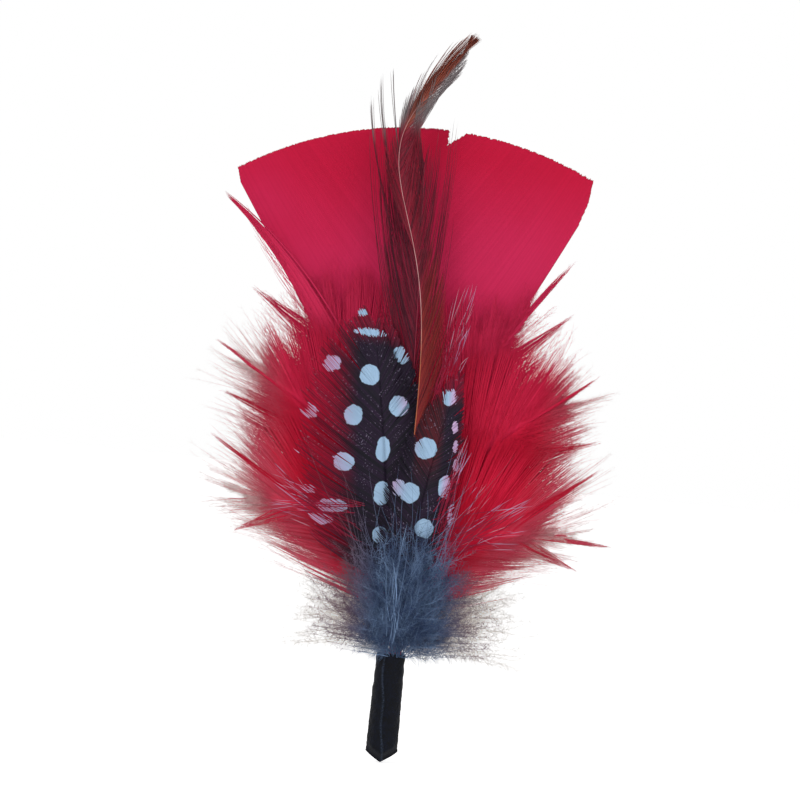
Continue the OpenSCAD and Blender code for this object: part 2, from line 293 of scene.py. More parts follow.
def refinish(finish, *nodes):
    """A new finish on CAD nodes whose shape is right as it is."""
    for node in nodes:
        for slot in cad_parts[node].material_slots:
            slot.material = finish.material


def wrapped_tape(rng, sides=160, rows=210):
    """An oval tube on a grid of turn by height. Its radius grows by the tape's thickness over
    one turn and drops at the overlap, a narrow strip is folded over its lower left, and its
    lower end is pinched to a V-shaped edge."""
    turn = np.linspace(0, 2 * np.pi, sides, endpoint=False)[None, :]
    down = np.linspace(0, 1, rows)[:, None]
    height = mouth_z * (1 - down)
    overlap = overlap_turn + 0.030 * (8 - height) + 0.06 * np.sin(0.8 * height)
    past = np.mod(turn - overlap, 2 * np.pi) / (2 * np.pi)
    lip = np.exp(-((past - 1) / 0.014) ** 2) + np.exp(-(past / 0.006) ** 2)
    strip = np.clip((strip_turns[1] - turn) / 0.06, 0, 1) * (turn > strip_turns[0])
    strip = strip * np.clip((strip_top_z - height) / 1.2, 0, 1)
    crepe = 0.040 * ripple(rng, 26, 9, 0.5, turn, height)
    crepe = crepe + 0.022 * ripple(rng, 34, 30, 1.4, turn, height)
    radius = 1 + (0.15 * (past - 0.5) + 0.09 * lip + 0.08 * strip + crepe) / tape_half_depth
    wide = half_width_above + (half_width_below - half_width_above) * down
    pinch = np.clip((down - 0.9) / 0.1, 0, 1)
    deep = tape_half_depth + (pinched_depth - tape_half_depth) * pinch * pinch * (3 - 2 * pinch)
    x, y = wide * radius * np.cos(turn), deep * radius * np.sin(turn)
    tip_z = tape_low[2] * np.clip(1 - np.abs(x + 0.2) / (wide + 0.2), 0, 1) ** 0.8
    z = mouth_z + (tip_z - mouth_z) * down
    bore_z = np.array([mouth_z, mouth_z - 3, bore_floor_z])[:, None]
    inner = triples(bore_r * np.cos(turn), bore_r * np.sin(turn), bore_z)
    points = np.concatenate([triples(x, y, z), inner, [[0, 0, bore_floor_z]]])
    first, last, half = rows * sides, (rows - 1) * sides, sides // 2
    low, centre = first + 2 * sides, first + 3 * sides
    j = np.arange(sides)
    nxt = (j + 1) % sides
    faces = tube_faces(sides, rows).tolist() + tube_faces(sides, 3, first)[:, ::-1].tolist()
    faces += np.stack([first + j, j, nxt, first + nxt], axis=1).tolist()
    faces += [(centre, low + p, low + q) for p, q in zip(j.tolist(), nxt.tolist())]
    faces += [(last + p, last + (sides - p) % sides, last + sides - p - 1, last + p + 1)
              for p in range(1, half - 1)]
    faces += [(last, last + sides - 1, last + 1), (last + half - 1, last + half + 1, last + half)]
    # The mark worn holds the overlap edge, where a painted highlight runs down the tape's ridge.
    worn = np.concatenate([np.broadcast_to(lip, past.shape).ravel(), np.zeros(3 * sides + 1)])
    return mesh_piece("wrapped_tape", points, faces, worn=worn.clip(0, 1))


tape = Finish("black_crepe_tape", 0.15)
lumps = tape.noise(0.9, 4, 0.6)
weave = tape.noise(5.0, 3, 0.7)
# The last layer, on the overlap edge given by the mark worn, is a painted highlight along the
# tape's ridge, broken up by the weave.
tone = tape.mix((0, 1, 5), (lumps.step(0.35, 0.75), (7, 10, 22)),
                (weave.step(0.5, 0.8) * 0.45, (38, 48, 76)),
                (tape.mark("worn") * weave.step(0.35, 0.75) * 0.6, (84, 98, 122)))
tape.link(Base_Color=tone, Roughness=0.6 + 0.25 * weave,
          Normal=tape.bump(weave * 0.5 + lumps, 0.2, 0.9))
dress(wrapped_tape(default_rng(11)), tape, "tape", "stem_tape")

thread = Finish("black_binding_thread", Roughness=0.6)
twist = thread.add("ShaderNodeTexWave", {"bands_direction": "DIAGONAL"}, {1: 4 / MM, 2: 1.5})
thread.link(Base_Color=thread.mix((12, 12, 16), (twist, (46, 46, 54))),
            Normal=thread.bump(twist, 0.03))
refinish(thread, "binding_thread")

glue = Finish("amber_glue", Coat_Weight=0.3)
haze = glue.noise(0.8, 3)
glue.link(Base_Color=glue.mix((206, 186, 130), (haze, (232, 218, 170))),
          Roughness=0.2 + 0.25 * haze, Normal=glue.bump(haze, 0.1, 0.4))
refinish(glue, "glue_core")


# ---- Flat feather ----
# A broad dyed feather at the back, its webs cut to an arc. Each web is its own row of barbs,
# flat blades that lie over one another like slates, with a split in the cut edge.

FRONT = np.array([0.0, -1.0, 0.0])


def unit(vectors):
    """Each vector divided by its own length."""
    return vectors / np.maximum(np.linalg.norm(vectors, axis=-1, keepdims=True), 1e-12)


def node_points(node):
    """The different corner points of a CAD node's mesh, in mm."""
    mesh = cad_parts[node].data
    points = np.empty(3 * len(mesh.vertices))
    mesh.vertices.foreach_get("co", points)
    return np.unique(np.round(points.reshape(-1, 3) / MM, 4), axis=0)


class Shaft:
    """The line of a CAD feather's shaft above the stem, from the rings of its mesh."""

    def __init__(self, node, ring=8):
        points = node_points(node)
        lowest = points[np.argsort(points[:, 2])[:ring]].mean(axis=0)
        order = np.argsort(points[:, 2] + np.abs(points[:, 0] - lowest[0]))
        rings = points[order].reshape(-1, ring, 3)[1:]
        self.line = rings.mean(axis=1)
        self.radii = np.linalg.norm(rings - self.line[:, None], axis=2).mean(axis=1)
        steps = np.linalg.norm(np.diff(self.line, axis=0), axis=1)
        self.length = steps.sum()
        self.shares = np.concatenate([[0], np.cumsum(steps)]) / self.length
        self.run = unit(np.gradient(self.line, self.shares, axis=0, edge_order=2))

    def at(self, share):
        """The point at a share of the length, by a cubic curve through the rings' centres."""
        share = np.asarray(share, float)
        i = np.clip(np.searchsorted(self.shares, share, "right") - 1, 0, len(self.shares) - 2)
        gap = (self.shares[i + 1] - self.shares[i])[..., None]
        t = (share[..., None] - self.shares[i][..., None]) / gap
        pull = gap * self.length
        here, there = self.line[i], self.line[i + 1]
        return ((1 + 2 * t) * (1 - t) ** 2 * here + t * (1 - t) ** 2 * pull * self.run[i]
                + t * t * (3 - 2 * t) * there + t * t * (t - 1) * pull * self.run[i + 1])

    def heading(self, share):
        """Degrees from straight up towards the right."""
        x, z = (np.interp(share, self.shares, self.run[:, i]) for i in (0, 2))
        return np.degrees(np.arctan2(x, z))

    def radius(self, share):
        """Half the thickness at a share of the length."""
        return np.interp(share, self.shares, self.radii)

    def share_at(self, z):
        """The share of the length at which the shaft comes to a height."""
        return np.interp(z, self.line[:, 2], self.shares)


def sprung(root, lean, length):
    """Paths in the plane of a web: each leaves its root and turns as lean says, in degrees
    from straight up towards the right, one column for each of the k points of its length."""
    lean = np.radians((lean[:, 1:] + lean[:, :-1]) / 2)
    step = np.reshape(length, (-1, 1)) / lean.shape[1]
    zero = np.zeros((len(lean), 1))
    x, z = (np.concatenate([zero, np.cumsum(part * step, axis=1)], axis=1)
            for part in (np.sin(lean), np.cos(lean)))
    return root[:, None, :] + np.stack([x, 0 * x, z], axis=-1)


def gaps(path):
    """Distance from each path to the next one, square to its run, at every point."""
    run = unit(np.gradient(path, axis=1))
    to_next = np.diff(path, axis=0, append=path[-1:] * 2 - path[-2:-1])
    return np.linalg.norm(np.cross(run, to_next), axis=-1)


def first_out(outside):
    """The share of each path's length at which it first lies outside, 1 if it never does."""
    count = outside.shape[1]
    return np.where(outside.any(axis=1), np.argmax(outside, axis=1), count)[:, None] / count


class Strands:
    """The blades of one piece. Each is a three-sided strip along its path, two edges and a
    ridge in front, shut at the foot by a triangle and drawn to a point at the tip."""

    def __init__(self):
        self.points, self.sides, self.ends, self.spots, self.marks = [], [], [], [], {}
        self.count = 0

    @staticmethod
    def skin(path, width, depth, facing):
        """The blades' points: a ring of left edge, ridge and right edge at each point of the path,
        half the width to either side and the depth towards facing, and the path's last point."""
        n, k = path.shape[:2]
        run = unit(np.diff(path, axis=1) if k == 2 else np.gradient(path, axis=1)[:, :-1])
        across = unit(np.cross(run, facing))
        front = np.cross(across, run)
        half = [np.broadcast_to(v, (n, k))[:, :-1, None] for v in (width, depth)]
        line = path[:, :-1]
        rings = np.stack(
            [line - half[0] * across, line + half[1] * front, line + half[0] * across], axis=2)
        return np.concatenate([rings.reshape(n, -1, 3), path[:, -1:]], axis=1)

    def lay(self, path, width, depth, facing=FRONT, **marks):
        """Adds n blades of k points: path is (n, k, 3), the half sizes spread to (n, k)."""
        n, k = path.shape[:2]
        size = 3 * (k - 1) + 1
        base = sum(map(len, self.points)) + size * np.arange(n)[:, None, None]
        ring = 3 * np.arange(k - 2)[:, None, None]
        sides = (ring + np.array([[0, 1, 4, 3], [1, 2, 5, 4], [2, 0, 3, 5]])).reshape(-1, 4)
        last, tip = size - 4, size - 1
        ends = np.array([(last, last + 1, tip), (last + 1, last + 2, tip),
                         (last + 2, last, tip), (0, 2, 1)])
        self.points.append(self.skin(path, width, depth, facing).reshape(-1, 3))
        self.sides.append((base + sides).reshape(-1, 4))
        self.ends.append((base + ends).reshape(-1, 3))
        for name, value in marks.items():
            value = np.broadcast_to(value, (n, k))
            value = np.concatenate([np.repeat(value[:, :-1], 3, axis=1), value[:, -1:]], axis=1)
            self.marks.setdefault(name, []).append(value.reshape(-1))
        along = np.append(np.repeat(np.linspace(0, 1, k)[:-1], 3), 1)
        along[1:-1:3] += 0.15 / k
        across = np.append(np.tile([0, 0.5, 1], k - 1), 0.5)
        blade = np.broadcast_to(self.count + np.arange(n)[:, None], (n, size))
        self.spots.append(triples(blade, along, across))
        self.count += n

    def bake_map(self):
        """Where colour follows only the marks worn, tone and tier, like colours share a place
        on the map: worn across it, and tone up it in each of eight bands, one for a tier.
        Otherwise each blade has a cell of its own."""
        blade, along, across = np.concatenate(self.spots).T
        if "worn" in self.marks:
            worn, tone, tier = (np.concatenate(self.marks[name])
                                for name in ("worn", "tone", "tier"))
            band = np.minimum((8 * tier).astype(int), 7)
            return np.stack([0.01 + 0.97 * worn + 0.004 * along,
                             (band + 0.04 + 0.9 * tone + 0.02 * across) / 8], axis=-1)
        columns = max(1, round(math.sqrt(self.count / 60)))
        rows = math.ceil(self.count / columns)
        return np.stack([(blade % columns + 0.04 + 0.92 * along / 1.01) / columns,
                         (blade // columns + 0.1 + 0.8 * across) / rows], axis=-1)

    def piece(self, name):
        """One mesh of all the blades, with a value a point for each mark."""
        points = np.concatenate(self.points) * MM
        sides, ends = np.concatenate(self.sides), np.concatenate(self.ends)
        mesh = bpy.data.meshes.new(name)
        mesh.vertices.add(len(points))
        mesh.vertices.foreach_set("co", points.astype(np.float32).ravel())
        corners = np.concatenate([sides.ravel(), ends.ravel()])
        mesh.loops.add(len(corners))
        mesh.loops.foreach_set("vertex_index", corners.astype(np.int32))
        sizes = np.concatenate([np.full(len(sides), 4), np.full(len(ends), 3)])
        mesh.polygons.add(len(sizes))
        starts = np.concatenate([[0], np.cumsum(sizes)[:-1]])
        mesh.polygons.foreach_set("loop_start", starts.astype(np.int32))
        mesh.polygons.foreach_set("loop_total", sizes.astype(np.int32))
        mesh.update(calc_edges=True)
        layer = mesh.uv_layers.new(name="OFBake")
        layer.data.foreach_set("uv", self.bake_map()[corners].astype(np.float32).ravel())
        marks = {mark: np.concatenate(values) for mark, values in self.marks.items()}
        return smooth_piece(name, mesh, marks)


def web_outline(node, shaft, side):
    """The CAD web's outer edge and its cut top, as rows of x and z from its corner points."""
    points = np.unique(node_points(node)[:, [0, 2]], axis=0)
    off = side * (points[:, 0] - np.interp(points[:, 1], shaft.line[:, 2], shaft.line[:, 0]))
    corner, foot = points[np.argmax(off)], points[np.argmin(points[:, 1])]
    edge = points[(off > 1.5) & (points[:, 1] <= corner[1])]
    edge = np.concatenate([[foot], edge[np.argsort(edge[:, 1])]])
    near_top = (off > 1.5) | (points[:, 1] > points[:, 1].max() - 0.2)
    top = points[(points[:, 1] >= corner[1]) & near_top]
    return edge, top[np.lexsort((-top[:, 1], top[:, 0]))]


def streaked(name, shine, per_mm, roughness, first, second):
    """The finish of a shaft, whose colour and roughness follow the same soft streaks."""
    finish = Finish(name, shine)
    streak = finish.noise(per_mm, 3)
    return finish.link(Base_Color=finish.mix(first, (streak, second)),
                       Roughness=roughness + 0.2 * streak)


flat = Shaft("flat_shaft")
red_shaft = streaked("red_shaft", 0.25, 0.7, 0.4, (176, 14, 44), (214, 34, 66))
refinish(red_shaft, "flat_shaft")
flat_foot_z = 38
flat_barbs = 190
flat_barb_length = 70
trial_points, flat_points = 700, 26
for side, node, seed, fray in ((-1, "flat_web_left", 21, 0.12), (1, "flat_web_right", 22, 0.3)):
    rng = default_rng(seed)
    edge, top = web_outline(node, flat, side)
    along = edge[-1] - edge[0]
    slant = math.degrees(math.atan2(side * along[0], along[1]))
    w = np.linspace(0, 1, flat_barbs)[:, None] ** 0.95
    share = flat.share_at(flat_foot_z) + (1 - flat.share_at(flat_foot_z)) * w[:, 0]
    root = flat.at(share)

    def lie(reach, points):
        """Each barb starts 4 degrees wider than its web's edge and ends 2 degrees narrower,
        and the upper barbs stand wider than the lower ones."""
        u = reach * np.linspace(0, 1, points)
        lean = slant + 4 + 10 * w - 6 * u + 1.2 * np.sin(9 * w + 2) * u
        return sprung(root, side * lean, reach * flat_barb_length)

    path = lie(1, trial_points)
    x, z = path[..., 0], path[..., 2]
    slack = 0.05 + np.clip((edge[-1, 1] - 10 - z) / 20, 0, 1)
    within = side * (x - np.interp(z, edge[:, 1], edge[:, 0])) < slack
    within &= z < np.interp(x, top[:, 0], top[:, 1])
    reach = first_out(~within) - fray * rng.uniform(0, 1, (flat_barbs, 1)) ** 2 / flat_barb_length
    reach = np.maximum(reach, 0.004)
    path = lie(reach, flat_points)
    path[:, -2] = path[:, -1] + 0.15 * (path[:, -2] - path[:, -1])
    out = np.abs(path[..., 0] - root[:, None, 0])
    path[..., 1] += 0.0012 * out ** 2 + 0.12 * np.sin(0.11 * path[..., 2] + side)
    web = Strands()
    web.lay(path, 0.62 * gaps(path) + 0.05, 0.045, unit(np.array([-side * 0.05, -1.0, 0.0])),
            barb=rng.uniform(0, 1, (flat_barbs, 1)),
            left=(1 - np.linspace(0, 1, flat_points)) * reach * flat_barb_length)
    finish = Finish("dyed_flat_web", 0.12)
    height = finish.side_and_height()[1]
    pink = (finish.noise(0.05) * 16 + height).step(118, 92)
    # The darker last 0.7 mm of each barb, from the mark left, is a painted shade along the web's
    # cut edge and outer edge.
    finish.coat(0.5, 0.2, 1.5, (204, 20, 62), (pink, (214, 42, 92)),
                (finish.mark("barb") * 0.14, (150, 8, 44)),
                (finish.mark("left").step(0.7, 0.0) * 0.4, (120, 20, 60)))
    dress(web.piece(f"{node}_barbs"), finish, "flat_red", node)


# ---- Side plumes ----
# Six dyed plumes, three a side, soft as fur. Each has a close web of barbs near its shaft,
# longer hairs that stand out of it, locks drawn to a point, and fine barbules on them all.

def cling(path, groups, pull, rng):
    """Draws the outer part of neighbouring barbs towards their group's own middle barb, by
    pull times the square of the share of their length."""
    n, k = path.shape[:2]
    cuts = np.sort(rng.choice(np.arange(2, n - 2), groups - 1, replace=False))
    group = np.searchsorted(cuts, np.arange(n), "right")
    middle = np.array([np.mean(np.flatnonzero(group == g)) for g in range(groups)])
    leader = path[np.round(middle).astype(int)[group]]
    u = np.linspace(0, 1, k)[None, :, None]
    strength = (pull * rng.uniform(0.5, 1, groups))[group][:, None, None]
    return path + strength * u ** 2 * (leader - path)


def along_paths(path, share):
    """Points and runs at a share (n, m) of each of n paths."""
    n, k = path.shape[:2]
    spot = np.clip(share, 0, 1) * (k - 1)
    i = np.minimum(spot.astype(int), k - 2)
    row = np.arange(n)[:, None]
    a, b = path[row, i], path[row, i + 1]
    return a + (spot - i)[..., None] * (b - a), unit(b - a)


def barbules(path, each, length, slope, rng, start, drift=0.15):
    """Straight needles off both sides of each barb, from the share start of it on, every one
    at its own slope and out of the web's plane by drift, shorter towards the barb's tip."""
    n = len(path)
    share = start + (1 - start) * rng.uniform(0, 1, (n, each)) ** 0.85
    foot, run = along_paths(path, share)
    across = unit(np.cross(run, FRONT))
    side = rng.choice([-1.0, 1.0], (n, each, 1))
    angle = np.radians(slope * rng.uniform(0.3, 1.5, (n, each, 1)))
    out = side * across + drift * rng.normal(0, 1, (n, each, 1)) * np.cross(across, run)
    size = (length * rng.uniform(0.4, 1.2, (n, each)) * (1 - 0.6 * share))[..., None]
    tip = foot + size * unit(run * np.cos(angle) + out * np.sin(angle))
    return np.stack([foot, tip], axis=2).reshape(-1, 2, 3)


def drawn_to(root, by_way, tip, points):
    """Curves from each root to its tip that bend towards a point on the way (quadratic)."""
    u = np.linspace(0, 1, points)[None, :, None]
    root, by_way, tip = (np.broadcast_to(p, root.shape)[:, None] for p in (root, by_way, tip))
    return (1 - u) ** 2 * root + 2 * u * (1 - u) * by_way + u * u * tip


def bowed(foot, tip, bow, points, rng):
    """Curves from each foot to its tip, bowed in the spray's plane by chance."""
    by_way = 0.5 * (foot + tip) + rng.normal(0, bow, foot.shape) * [1, 0, 1]
    return drawn_to(foot, by_way, tip, points)


def clouds(points, per_mm, rng):
    """Soft patches over x and z, from 0 to 1: a sum of six sine waves at random angles."""
    total = 0
    for angle, phase in rng.uniform(0, 2 * np.pi, (6, 2)):
        across = np.cos(angle) * points[..., 0] + np.sin(angle) * points[..., 2]
        total = total + np.sin(2 * np.pi * per_mm * rng.uniform(0.6, 1.4) * across + phase)
    return (0.5 + 0.2 * total).clip(0, 1)


def smooth(value):
    """Held between 0 and 1 and eased at both ends: 3 v squared less 2 v cubed."""
    value = np.clip(value, 0, 1)
    return value * value * (3 - 2 * value)


spread_middle_z = 56.5


def from_middle(points):
    """Distance from the middle of the spread, as seen from the front."""
    return np.hypot(points[..., 0], points[..., 2] - spread_middle_z)


def plume_worn(points, rng, start, end):
    """How far the dye has gone: from start to end mm out, at the sides and below only."""
    away = from_middle(points) + rng.normal(0, 1.0, points.shape[:-1])
    beside = np.abs(points[..., 0]) - 17 - 0.4 * (points[..., 2] - spread_middle_z)
    return smooth((away - start) / (end - start)) * smooth(beside / 7)


web_barbs, hairs, lock_barbs = 270, 120, 22
barb_points, wisp_points = 12, 14
u = np.linspace(0, 1, barb_points)
# name, seed, height of the lowest barb, how far the web and the hairs reach, bunches of the
# web, and for each lock the place of its tip and the share of the shaft it springs from
for name, seed, foot_z, web_reach, hair_reach, bunches, locks in (
    ("upper_left", 31, 34, 31, 35, 12, ((-31.4, 81.0, 0.72),)),
    ("upper_right", 32, 34, 28, 33, 12, ((26.3, 91.0, 0.90), (27.4, 81.5, 0.74))),
    ("middle_left", 33, 29, 32.5, 38, 16, ((-36.8, 70.8, 0.88), (-35.0, 61.8, 0.66))),
    ("middle_right", 34, 29, 30.5, 35, 16, ((32.6, 70.4, 0.88), (34.0, 58.9, 0.68))),
    ("lower_left", 35, 25, 32, 37.5, 15, ((-36.0, 53.8, 0.60), (-30.6, 36.8, 0.80))),
    ("lower_right", 36, 24, 30.5, 35, 15,
     ((34.8, 54.2, 0.64), (37.6, 40.2, 0.86), (32.0, 35.2, 0.76))),
):
    rng = default_rng(seed)
    shaft = Shaft(f"plume_{name}_shaft")
    refinish(red_shaft, f"plume_{name}_shaft")
    first = shaft.share_at(foot_z)
    upper_half = shaft.shares > 0.5
    plume = Strands()

    def lay(path, width, depth, tones, start, end):
        """Barbs or needles, each lighter or darker by chance between the two tones, in soft
        patches, and worn from start to end mm out."""
        tone = rng.uniform(*tones, (len(path), 1))
        tone = 0.6 * clouds(path, 0.07, default_rng(7)) + 0.4 * tone
        tier = smooth((path[..., 2].mean(axis=1, keepdims=True) - 52) / 32)
        plume.lay(path, width, depth, tone=tone, worn=plume_worn(path, rng, start, end),
                  tier=tier)

    for side in (-1, 1):
        for barbs, is_web, farthest in ((web_barbs, True, web_reach),
                                        (hairs, False, hair_reach)):
            w = np.linspace(0, 1, barbs)[:, None] ** 0.85
            last = np.interp(farthest - 1.5, from_middle(shaft.line[upper_half]),
                             shaft.shares[upper_half])
            share = first + (last - first) * w
            root = shaft.at(share[:, 0])
            root[:, 1] -= shaft.radius(share[:, 0])
            scatter = rng.normal(0, 0.9 if is_web else 9, w.shape)
            longest = 27 - 12 * w ** 2 if is_web else 31 - 13 * w ** 2

            def lie(reach, points):
                """Each barb leans off the shaft, by 62 degrees at the lowest and 10 at the
                highest, and bends up by 10 to 4 degrees and its own scatter."""
                u = reach * np.linspace(0, 1, points)
                lean = 62 - 52 * w + (-10 + 6 * w) * u + scatter * u
                return sprung(root, shaft.heading(share) + side * lean, reach * longest)

            bunch = np.sort(rng.integers(0, bunches, barbs))
            factor = rng.uniform(0.9, 1.06, bunches)[bunch] * rng.uniform(0.86, 1.06, barbs)
            away = from_middle(lie(1, 160))
            reach = first_out(away > (farthest * factor)[:, None])
            path = lie(reach.clip(0.12), barb_points)
            if is_web:
                path = cling(path, bunches, 0.12, rng)
                path[..., 1] += rng.normal(0, 0.04, (barbs, 1)) * u
                width = (0.9 * gaps(path)).clip(0.06, 0.24) * (1 - u ** 2) + 0.015
                lay(path, width, 0.05 * width + 0.01, (0.2, 0.8), 18, 38)
                lay(barbules(path, 50, 2.7, 24, rng, 0.12, 0.12), 0.018, 0.012, (0.3, 1), 17, 36)
            else:
                path = cling(path, 4 * bunches, 0.5, rng)
                path[..., 1] += rng.normal(0, 0.14, (barbs, 1)) * u
                lay(path, 0.03 * (1 - 0.6 * u), 0.015, (0, 1), 20, 45)
                lay(barbules(path, 22, 2.6, 26, rng, 0.4), 0.013, 0.01, (0, 1), 18, 35)
    for x, z, spring in locks:
        root = shaft.at(spring + np.linspace(-0.07, 0.07, lock_barbs))
        tip = np.array([x, root[0, 1] - 0.2, z])
        ends = tip + rng.normal(0, 0.12, root.shape)
        ends -= rng.uniform(0, 5, (lock_barbs, 1)) * unit(tip - root)
        by_way = 0.5 * (tip + root) + rng.normal(0, 0.3, root.shape)
        path = drawn_to(root, by_way, ends, barb_points)
        lay(path, 0.11 * (1 - u) ** 0.7 + 0.012, 0.02, (0, 0.4), 24, 50)
        lay(barbules(path, 36, 1.8, 16, rng, 0.3), 0.014, 0.01, (0, 0.5), 24, 46)
    if name == "upper_left":
        # A long wisp: a strip of barbs between two curves, with stray barbs off the lower one
        lower, upper = (drawn_to(np.array([foot]), by_way, tip, wisp_points)
                        for foot, by_way, tip in (
                            ((-14, 0, 64), (-24.6, 0, 86.4), (-37.5, 0, 96.7)),
                            ((-12, 0, 71), (-23, 0, 88.5), (-38, 0, 97.7))))
        t = np.append(np.linspace(0, 0.8, 30), [0.95, 0.97, 0.99, 1])[:, None, None]
        path = (1 - t) * lower + t * upper
        path[..., 1] = 3.4 + rng.normal(0, 0.03, (len(t), 1))
        width = (0.75 * gaps(path[:30])).clip(0.04, 0.5)
        width = np.concatenate([width, np.full((4, wisp_points), 0.09)])
        width = width * (1 - np.linspace(0, 1, wisp_points) ** 6)
        lay(path, width, 0.03, (0.2, 0.5), 60, 70)
        root = lower[0, 3:9].repeat(6, axis=0)
        root += rng.normal(0, 0.5, root.shape)
        root[:, 1] = 3.2
        ends = root + np.array([-5.6, 0, 9.6]) * rng.uniform(0.5, 1.25, (len(root), 1))
        ends[:, 0] -= rng.uniform(-0.4, 3.0, len(root))
        path = drawn_to(root, (root + ends) / 2 + [-0.5, 0, -0.3], ends, barb_points)
        lay(path, 0.04 * (1 - 0.7 * u), 0.02, (0, 1), 16, 38)
    finish = Finish("dyed_plume", 0.1)
    worn = finish.mark("worn")
    finish.coat(0.5, 0.25, 0.8, (198, 12, 44), (finish.mark("tone"), (232, 34, 72)),
                (finish.mark("tier") * 0.85, (220, 52, 98)),
                (worn.step(0.0, 0.6), (216, 82, 104)), (worn.step(0.6, 1.0), (255, 240, 236)))
    dress(plume.piece(f"plume_{name}_strands"), finish, "plume_red", f"plume_{name}_barbs")


# ---- Dark hackle ----
# A cock's hackle behind the guinea feathers. Its barbs are thin, long and separate, nearly
# black, and lie close along the shaft. Some of them end above the flat feather's cut edge.

def dress_shaft(feather, shaft, thin, finish, slot, sides=10, rows=110):
    """A round tube carried along a feather's shaft, its radius that of the CAD rings times
    thin, closed by a fan at each end."""
    share = np.linspace(0, 1, rows)
    line = shaft.at(share)
    run = unit(np.gradient(line, axis=0))
    across = unit(np.cross(run, FRONT))
    front = np.cross(across, run)
    turn = np.linspace(0, 2 * np.pi, sides, endpoint=False)[None, :, None]
    radius = (thin * shaft.radius(share))[:, None, None]
    off = np.cos(turn) * across[:, None] + np.sin(turn) * front[:, None]
    rings = line[:, None] + radius * off
    points = np.concatenate([rings.reshape(-1, 3), line[:1], line[-1:]])
    j, top, foot = np.arange(sides), sides * (rows - 1), sides * rows
    pairs = list(zip(j.tolist(), ((j + 1) % sides).tolist()))
    faces = tube_faces(sides, rows).tolist()
    faces += [(foot, a, b) for a, b in pairs] + [(foot + 1, top + b, top + a) for a, b in pairs]
    dress(mesh_piece(f"{feather}_quill", points, faces), finish, slot, f"{feather}_shaft")


hackle_u = np.linspace(0, 1, 16)


def hackle_barbs(shaft, side, count, rows, length, lean, bend, edge, groups, pull, rng):
    """Barbs along one side, rooted from the first to the second height of rows: length and
    lean are functions of w, their place between them from 0 to 1. A barb ends where it comes
    to the vane's edge, given by heights and the distance from the shaft at each."""
    w = np.linspace(0, 1, count)[:, None]
    share = shaft.share_at(rows[0]) * (1 - w) + shaft.share_at(rows[1]) * w
    root = shaft.at(share[:, 0])
    sway = rng.normal(0, 1.0, w.shape)
    size = length(w) * rng.uniform(0.92, 1.02, w.shape)

    def lie(reach, points):
        """Each barb leans off the shaft by its lean and sway, and turns back by bend."""
        u = reach * np.linspace(0, 1, points)
        turned = side * (lean(w) - bend * u + sway)
        return sprung(root, shaft.heading(share) + turned, reach * size)

    path = lie(1, 80)
    x, z = path[..., 0], path[..., 2]
    off = side * (x - np.interp(z, shaft.line[:, 2], shaft.line[:, 0]))
    outside = off > np.interp(z, *edge) * rng.uniform(0.5, 1.15, w.shape)
    path = cling(lie(first_out(outside).clip(0.1), len(hackle_u)), groups, pull, rng)
    path[..., 1] += rng.normal(0, 0.2, (count, 1)) * hackle_u
    return path


dark = Shaft("dark_hackle_shaft")
dark_rows = (40, 105.5)
dark_edge = ((50, 72, 92, 101, 111, 122), (4.5, 6.6, 8.6, 10.2, 12.6, 13))
strands = Strands()
for side, count, lean, bend, seed in ((-1, 330, lambda w: 26 - 11 * w, 16, 41),
                                      (1, 40, lambda w: 8 + 3 * w, 6, 42)):
    rng = default_rng(seed)
    w = np.linspace(0, 1, count)[:, None]
    full = (rng.uniform(0, 1, w.shape) > 0.84) & (w > 0.3) & (w < 0.72) & (side < 0)
    tip_z = np.where(full, rng.uniform(112, 116, w.shape),
                     113 - 13 * rng.uniform(0, 1, w.shape) ** 1.6)
    rise = dark_rows[1] - dark_rows[0]
    length = np.minimum(30 + 70 * w, 1.04 * (tip_z - dark_rows[0] - rise * w)).clip(3)
    path = hackle_barbs(dark, side, count, dark_rows, lambda w: length, lean, bend, dark_edge,
                        20, 0.4, rng)
    strands.lay(path, 0.085 * (1 - 0.75 * hackle_u), 0.04, tier=0,
                worn=smooth((path[..., 2] - 109) / 5), tone=rng.uniform(0, 1, (count, 1)))
# Three tips of six barbs each, drawn to a point well above the others
for x, z in ((-13.1, 116.3), (-11.7, 119.6), (-9.8, 122.4)):
    root = dark.at(dark.share_at(z - 38 + np.linspace(-4, 4, 6)))
    tip = np.array([x, -0.9, z]) + rng.normal(0, 0.25, (6, 3)) * [1, 0.3, 3]
    path = drawn_to(root, (x + 1.4, -0.9, z - 14), tip, len(hackle_u))
    strands.lay(path, 0.08 * (1 - 0.6 * hackle_u), 0.04, tier=0,
                worn=smooth((path[..., 2] - 108) / 4), tone=rng.uniform(0, 1, (6, 1)))
finish = Finish("dark_hackle", 0.3)
finish.coat(0.35, 0.25, 1.2, (62, 8, 32), (finish.mark("tone"), (132, 16, 48)),
            (finish.mark("worn"), (128, 116, 118)))
dress(strands.piece("dark_hackle_strands"), finish, "maroon", "dark_hackle_barbs")
quill = streaked("maroon_shaft", 0.4, 0.6, 0.3, (110, 18, 44), (170, 40, 72))
dress_shaft("dark_hackle", dark, 0.5, quill, "maroon_shaft")


# ---- Guinea feathers ----
# Three small navy feathers with round pale dots. The barbs are dense near the shaft and part
# towards their ends, where a dot is torn into strips and the red behind shows through.

